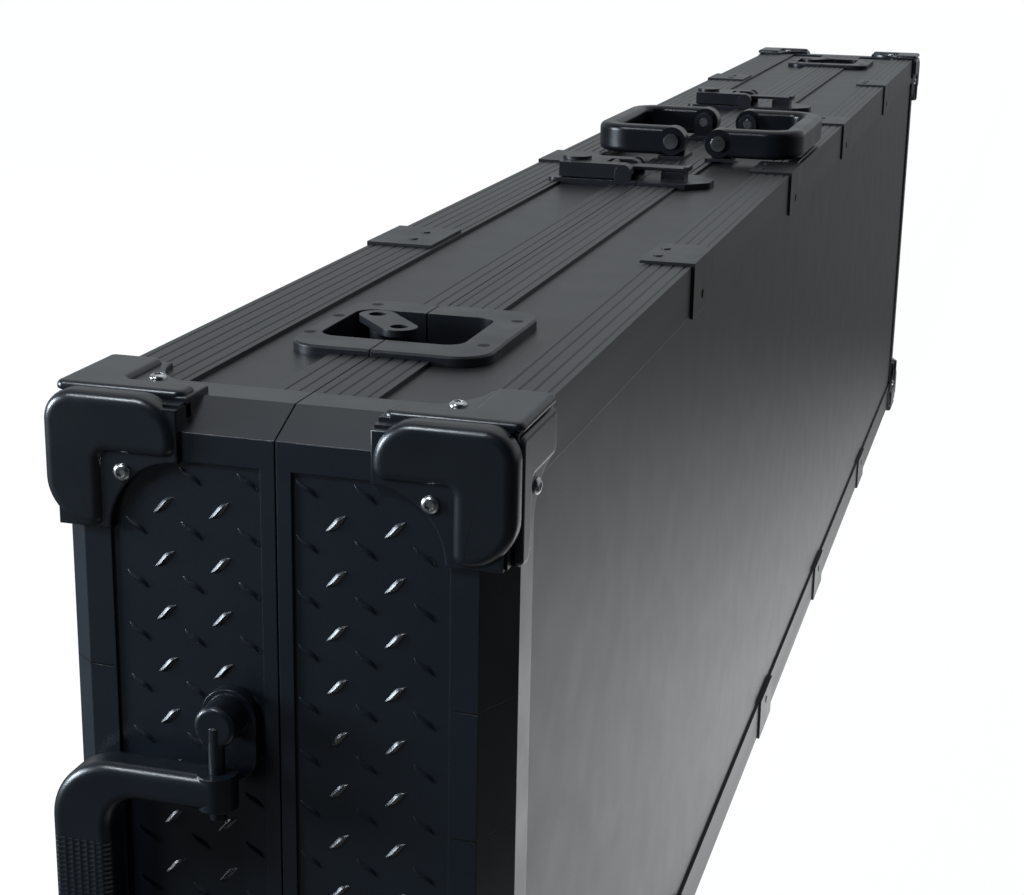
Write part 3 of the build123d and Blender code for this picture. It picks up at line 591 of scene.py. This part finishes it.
# A lens-shaped lug. With s along it and t across it, both from -1 to 1, its half width falls off as
# (1 - s^2)^0.8 and its height as (1 - s^2)^0.6 * (1 - |t|^1.4). It is bent into a slight S, bend * sin(pi s).
def lugPoints(tilt):
    along = np.linspace(-1, 1, tread["points"][0])[:, None]
    across = np.linspace(-1, 1, tread["points"][1])[None, :]
    full = 1 - along ** 2
    a = along * tread["length"] / 2 + 0 * across
    b = across * full ** 0.8 * tread["width"] / 2 + tread["bend"] * np.sin(math.pi * along)
    h = tread["height"] * full ** 0.6 * (1 - np.abs(across) ** 1.4)
    turn = math.radians(tilt)
    x = a * math.cos(turn) - b * math.sin(turn)
    z = a * math.sin(turn) + b * math.cos(turn)
    return np.stack([x, -h, z], -1).reshape(-1, 3)


# True where a lug's middle lies in the recess, clear of its rims and of its two rounded corners
def insideTread(x, z):
    r, margin = recess, tread["margin"]
    low, high = r["joint"] + margin - r["slackJoint"], case["half"] - r["side"] - margin
    bottom, top = case["bottom"] + r["ends"] + margin, case["top"] - r["ends"] - margin
    ok = (x > low) & (x < high + r["slack"]) & (z > bottom) & (z < top)
    cx = case["half"] - r["side"] - r["radius"]
    cz = np.where(z > case["middle"], case["top"] - r["ends"] - r["radius"],
                  case["bottom"] + r["ends"] + r["radius"])
    beyond = (x > cx) & (np.abs(z - case["middle"]) > np.abs(cz - case["middle"]))
    return ok & (~beyond | (np.hypot(x - cx, z - cz) < r["radius"] - margin + r["slack"]))


say("tread")
for half, sideX in (("base", -1), ("lid", 1)):
    for end in ("near", "far"):
        places = []
        for way, shiftX, shiftZ in tread["sets"]:
            lug = lugPoints(way * tread["tilt"])
            x = tread["firstX"] + shiftX * tread["pitchX"] + tread["pitchX"] * np.arange(*tread["columns"])
            z = tread["firstZ"] + (shiftZ - np.arange(tread["rows"])) * tread["pitchZ"]
            x, z = [g.ravel() for g in np.meshgrid(x, z)]
            keep = insideTread(x, z)
            for lugX, lugZ in zip(x[keep], z[keep]):
                middle = (sideX * lugX, case["nearEnd"] + tread["sunk"] + tread["under"], lugZ)
                places.append(atEnd(lug + middle, end))
        points, faces = joinCopies(places, [gridFaces(*tread["points"])])
        makePiece(f"{half}_{end}_tread", points, faces, materials["cap"], half, sharp=60)


# Foam

foamLook = {
    "pitch": 34.0, "crest": 17.0, "step": 4.25, "latchY": (-669.15, 686.85), "latchHalf": 32.0, "latchDip": 7.5,
    "latchRun": 6, "gap": 0.4, "rimDrop": 3, "rimRun": 5,
}


# A node's lowest and highest corners in millimetres
def foamSpan(name):
    low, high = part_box(name)
    return np.array(low) / mm, np.array(high) / mm


# The foam's upper edge, dipping under each latch
def foamTop(y, high):
    dip = np.zeros_like(y)
    for place in foamLook["latchY"]:
        away = np.abs(y - place)
        dip = np.maximum(dip, 1 - ease(away, foamLook["latchHalf"], foamLook["latchHalf"] + foamLook["latchRun"]))
    return high - dip * foamLook["latchDip"]


# A slab whose front is a height over Y and Z and whose back and sides are flat
def foamSlab(name, front, back, y, z, node, body):
    rows, columns = front.shape
    grids = [np.stack([front, y, z], -1)]
    x = np.full_like(front, back)
    grids.append(np.stack([x, y, z], -1))
    faces = [gridFaces(rows, columns), gridFaces(rows, columns, start=rows * columns)[:, ::-1]]
    ring = np.concatenate([
        np.arange(columns), np.arange(1, rows) * columns + columns - 1,
        (rows - 1) * columns + np.arange(columns - 2, -1, -1), np.arange(rows - 2, 0, -1) * columns,
    ])
    after = np.roll(ring, -1)
    faces.append(np.stack([ring, ring + rows * columns, after + rows * columns, after], 1))
    points = np.concatenate([g.reshape(-1, 3) for g in grids])
    piece = makePiece(name, points, faces, materials["foam"], body, sharp=60)
    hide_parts(node)


# Rows of crests: height = crest * (2 + cos(2 pi y / pitch) + cos(2 pi z / pitch)) / 4, lower round the rim
say("foam")
low, high = foamSpan("lid_foam")
y = np.linspace(low[1], high[1], int((high[1] - low[1]) / foamLook["step"]) + 1)[:, None]
t = np.linspace(0, 1, int((high[2] - low[2]) / foamLook["step"]) + 1)[None, :]
z = low[2] + (foamTop(y, high[2]) - low[2]) * t
y = y + 0 * z
wave = (2 + np.cos(2 * math.pi * y / foamLook["pitch"]) + np.cos(2 * math.pi * z / foamLook["pitch"])) / 4
rim = np.minimum.reduce([y - low[1], high[1] - y, z - low[2], high[2] - z])
rimFall = foamLook["rimDrop"] * (1 - ease(rim, 0, foamLook["rimRun"]))
front = low[0] + foamLook["gap"] + foamLook["crest"] * (1 - wave) + rimFall
foamSlab("lid_foam_crates", front, high[0], y, z, "lid_foam", "lid")

cueFoam = {
    "slots": 4, "slotHalf": 18.0, "slotDepth": 36.0, "slotRun": 750.0, "slotPitch": 64.6, "firstSlot": 148.9,
    "cutPlaces": (-421.15, 438.85), "cutHalf": 35.0, "cutOver": 10.0, "pocketHalfZ": 39.0, "pocketHalfY": 165.0,
    "pocketDepth": 46.0, "pocketPitch": 400.0, "pocketZ": 67.9, "lip": 2.2, "wall": 1.2,
    "stepY": 24, "stepZ": 12, "topRun": 20, "gap": 0.2, "rimDrop": 2, "rimRun": 4,
}


# Places along one axis, close together at every wall and at most a set step apart between
def wallPlaces(low, high, walls, step):
    c = cueFoam
    # from just outside the lip, over it, down the wall and a little way along the floor
    offsets = np.array([-c["lip"] - 2, -c["lip"], -1.2, -0.5, 0, 0.5, c["wall"], c["wall"] + 2.5])
    near = [w + side * offsets for w, side in walls]
    places = np.unique(np.round(np.concatenate([np.array([low, high]), *near]), 2))
    places = places[(places >= low) & (places <= high)]
    filled = []
    for a, b in zip(places, places[1:]):
        filled.append(np.linspace(a, b, max(1, int(math.ceil((b - a) / step))), endpoint=False))
    return np.append(np.concatenate(filled), high)


# How deep a boxed cut is at each point: nothing outside, a rounded lip, then a steep wall to its floor
def boxCut(y, z, y0, y1, z0, z1, depth):
    c = cueFoam
    inside = np.minimum.reduce([y - y0, y1 - y, z - z0, z1 - z])
    lip = np.clip((inside + c["lip"]) / c["lip"], 0, 1)
    wall = np.clip(inside / c["wall"], 0, 1)
    rounded = c["lip"] * (1 - np.sqrt(1 - lip ** 2))
    return np.where(inside > 0, rounded + (depth - c["lip"]) * wall, rounded)


low, high = foamSpan("base_foam")
c = cueFoam
slotZ = [c["firstSlot"] + i * c["slotPitch"] for i in range(c["slots"])]
centreY = (low[1] + high[1]) / 2
cuts = [(centreY - c["slotRun"], centreY + c["slotRun"], z - c["slotHalf"], z + c["slotHalf"], c["slotDepth"])
        for z in slotZ]
spanZ = (slotZ[0] - c["slotHalf"] - c["cutOver"], slotZ[-1] + c["slotHalf"] + c["cutOver"])
cuts += [(place - c["cutHalf"], place + c["cutHalf"], *spanZ, c["slotDepth"]) for place in c["cutPlaces"]]
for i in (-1, 0, 1):
    place = centreY + i * c["pocketPitch"]
    cuts.append((place - c["pocketHalfY"], place + c["pocketHalfY"], c["pocketZ"] - c["pocketHalfZ"],
                 c["pocketZ"] + c["pocketHalfZ"], c["pocketDepth"]))
wallsY = [(w, side) for cut in cuts for w, side in ((cut[0], 1), (cut[1], -1))]
wallsZ = [(w, side) for cut in cuts for w, side in ((cut[2], 1), (cut[3], -1))]
y = wallPlaces(low[1], high[1], wallsY, c["stepY"])[:, None]
line = wallPlaces(low[2], high[2], wallsZ, c["stepZ"])[None, :]
share = ease(line, high[2] - c["topRun"], high[2])
z = line + (foamTop(y, high[2]) - high[2]) * share
y = y + 0 * z
line = line + 0 * z
depth = np.zeros_like(z)
for cut in cuts:
    depth = np.maximum(depth, boxCut(y, line, *cut))
rim = np.minimum.reduce([y - low[1], high[1] - y, line - low[2], high[2] - line])
front = high[0] - c["gap"] - depth - c["rimDrop"] * (1 - ease(rim, 0, c["rimRun"]))
foamSlab("base_foam_insert", front, low[0], y, z, "base_foam", "base")


# Stage, light and camera

stageLook = {
    "size": 9.0, "drop": 0.17, "step": 0.001, "albedo": 0.05, "tint": (0.97, 0.985, 1), "seen": 1.0, "dim": 0.018,
    "bright": 1.8, "centreX": 0.22, "centreY": 0.3, "wide": 0.46, "long": 1.6, "far": 0.18, "farFrom": 0.6,
    "farTo": 2.6,
}


# White to a straight view. To everything else it glows most in a patch beside the lid half, fading out with
# 1 - hypot(x / wide, y / long) from the patch's centre, and a little far behind, so the near end stays dark
def stageMaterial():
    look = stageLook
    material, tree, shader, place = startMaterial("pale_floor")
    shader.inputs["Base Color"].default_value = (*[look["albedo"]] * 3, 1)
    shader.inputs["Roughness"].default_value = 0.9
    shader.inputs["Specular IOR Level"].default_value = 0.1
    shader.inputs["Emission Color"].default_value = (*look["tint"], 1)
    mapping = tree.nodes.new("ShaderNodeMapping")
    mapping.inputs["Location"].default_value = (-look["centreX"] / look["wide"], -look["centreY"] / look["long"], 0)
    mapping.inputs["Scale"].default_value = (1 / look["wide"], 1 / look["long"], 0)
    link(tree, place, mapping.inputs["Vector"])
    ball = tree.nodes.new("ShaderNodeTexGradient")
    ball.gradient_type = "SPHERICAL"
    link(tree, mapping.outputs["Vector"], ball.inputs["Vector"])
    split = tree.nodes.new("ShaderNodeSeparateXYZ")
    link(tree, place, split.inputs["Vector"])
    behind = spread(tree, split.outputs["Y"], look["dim"], look["far"], look["farFrom"], look["farTo"])
    glow = combine(tree, "ADD", spread(tree, ball.outputs["Fac"], 0, look["bright"], 0, 1), behind)
    seen = tree.nodes.new("ShaderNodeLightPath").outputs["Is Camera Ray"]
    pick = tree.nodes.new("ShaderNodeMix")
    link(tree, seen, pick.inputs[0])
    link(tree, glow, pick.inputs[2])
    pick.inputs[3].default_value = look["seen"]
    link(tree, pick.outputs[0], shader.inputs["Emission Strength"])
    return material


# A pale floor with a low step, so that the case stands on its base half and the lid half has room to swing down
def makeStage():
    size, drop, step = stageLook["size"], stageLook["drop"], stageLook["step"]
    outline = np.array([(-size, 0), (-step, 0), (-step, -drop), (size, -drop)])
    rows = [np.column_stack([outline[:, 0], np.full(4, y), outline[:, 1]]) for y in (-size, size)]
    mesh = bpy.data.meshes.new("floor")
    mesh.from_pydata(np.concatenate(rows).tolist(), [], [[i, i + 1, i + 5, i + 4] for i in range(3)])
    mesh.materials.append(stageMaterial())
    floor = bpy.data.objects.new("floor", mesh)
    bpy.context.scene.collection.objects.link(floor)


# Each light's place and target in metres, its size, its power in watts and its colour
lamps = {
    "overhead": dict(place=(0.1, 0.4, 2.6), target=(0, 0.1, 0.2), size=(2.4, 2.4), power=9, colour=(1, 1, 1)),
    "left_window": dict(place=(-2.3, -1.55, 0.75), target=(0, -0.8, 0.25), size=(0.9, 0.8), power=105,
                        colour=(.80, .90, 1)),
    "high_front": dict(place=(-0.95, -2.1, 2.3), target=(0, -0.8, 0.3), size=(0.7, 0.35), power=42,
                       colour=(.85, .93, 1)),
}


# A soft rectangular light turned towards its target
def softLight(name, place, target, size, power, colour):
    data = bpy.data.lights.new(name, "AREA")
    data.shape = "RECTANGLE"
    data.size, data.size_y = size
    data.energy = power
    data.color = colour
    lamp = bpy.data.objects.new(name, data)
    bpy.context.scene.collection.objects.link(lamp)
    lamp.location = place
    lamp.rotation_euler = (Vector(target) - Vector(place)).to_track_quat("-Z", "Y").to_euler()


roomLook = {
    "behindCamera": (.010, .014, .019), "behindCase": (.47, .50, .515), "from": -0.25, "to": 0.5, "seen": 1.05,
}


# Behind the case the room is light, behind the camera it is dim and cool, and straight views see plain white
def makeWorld():
    world = bpy.data.worlds.new("studio")
    bpy.context.scene.world = world
    world.use_nodes = True
    tree = world.node_tree
    tree.nodes.clear()
    place = tree.nodes.new("ShaderNodeTexCoord").outputs["Generated"]
    split = tree.nodes.new("ShaderNodeSeparateXYZ")
    link(tree, place, split.inputs["Vector"])
    facing = spread(tree, split.outputs["Y"], 0, 1, roomLook["from"], roomLook["to"])
    colour = mixColour(tree, facing, roomLook["behindCamera"], roomLook["behindCase"])
    room = tree.nodes.new("ShaderNodeBackground")
    link(tree, colour, room.inputs["Color"])
    white = tree.nodes.new("ShaderNodeBackground")
    white.inputs["Color"].default_value = (1, 1, 1, 1)
    white.inputs["Strength"].default_value = roomLook["seen"]
    seen = tree.nodes.new("ShaderNodeLightPath").outputs["Is Camera Ray"]
    mix = tree.nodes.new("ShaderNodeMixShader")
    link(tree, seen, mix.inputs["Fac"])
    link(tree, room.outputs["Background"], mix.inputs[1])
    link(tree, white.outputs["Background"], mix.inputs[2])
    output = tree.nodes.new("ShaderNodeOutputWorld")
    link(tree, mix.outputs["Shader"], output.inputs["Surface"])


camera = {"place": (0.24944, -1.39276, 0.57049), "turn": -0.275, "tilt": -0.284, "roll": 0.018, "lens": 67.75}


# The camera's heading is turned from +Y towards +X, or towards -X where the turn is below nought, and tilted up,
# or down where the tilt is; then it is rolled about the line of sight
def makeCamera():
    turn, tilt, roll = camera["turn"], camera["tilt"], camera["roll"]
    forward = np.array([math.sin(turn) * math.cos(tilt), math.cos(turn) * math.cos(tilt), math.sin(tilt)])
    right = np.array([math.cos(turn), -math.sin(turn), 0])
    up = np.cross(right, forward)
    side = right * math.cos(roll) + up * math.sin(roll)
    top = -right * math.sin(roll) + up * math.cos(roll)
    data = bpy.data.cameras.new("camera")
    data.lens, data.sensor_width = camera["lens"], 36
    data.clip_start, data.clip_end = 0.05, 60
    body = bpy.data.objects.new("camera", data)
    bpy.context.scene.collection.objects.link(body)
    matrix = np.eye(4)
    matrix[:3, 0], matrix[:3, 1], matrix[:3, 2], matrix[:3, 3] = side, top, -forward, camera["place"]
    body.matrix_world = Matrix(matrix.tolist())
    bpy.context.scene.camera = body


say("stage")
makeStage()
makeWorld()
for name, lamp in lamps.items():
    softLight(name, **lamp)
makeCamera()
bpy.context.scene.view_settings.view_transform = "Standard"
